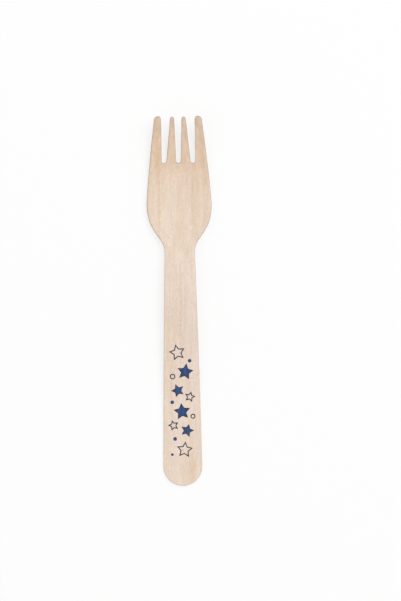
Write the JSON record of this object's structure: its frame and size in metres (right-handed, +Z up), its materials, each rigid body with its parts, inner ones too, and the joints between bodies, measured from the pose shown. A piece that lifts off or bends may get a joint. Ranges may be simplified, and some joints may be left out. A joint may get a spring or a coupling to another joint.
{
  "type": "disposable wooden fork",
  "caption": "Flat pressed birch fork with a round-ended tapering handle, arched neck, shallow scooped head and slotted tines, for picking up and eating food.",
  "frame": {"origin": "middle of the fork's plan box, at the height of the surface it lies on", "axes": "+Y along the fork towards the tines, +X to the right seen from above, +Z up out of the scoop"},
  "size_m": [0.0282, 0.1602, 0.0094],
  "materials": {
    "birch": "bare birch veneer, hot pressed and tumbled smooth, matt, with a navy print on the grip"
  },
  "bodies": {
    "root": {"fork": "birch"}
  },
  "joints": []
}
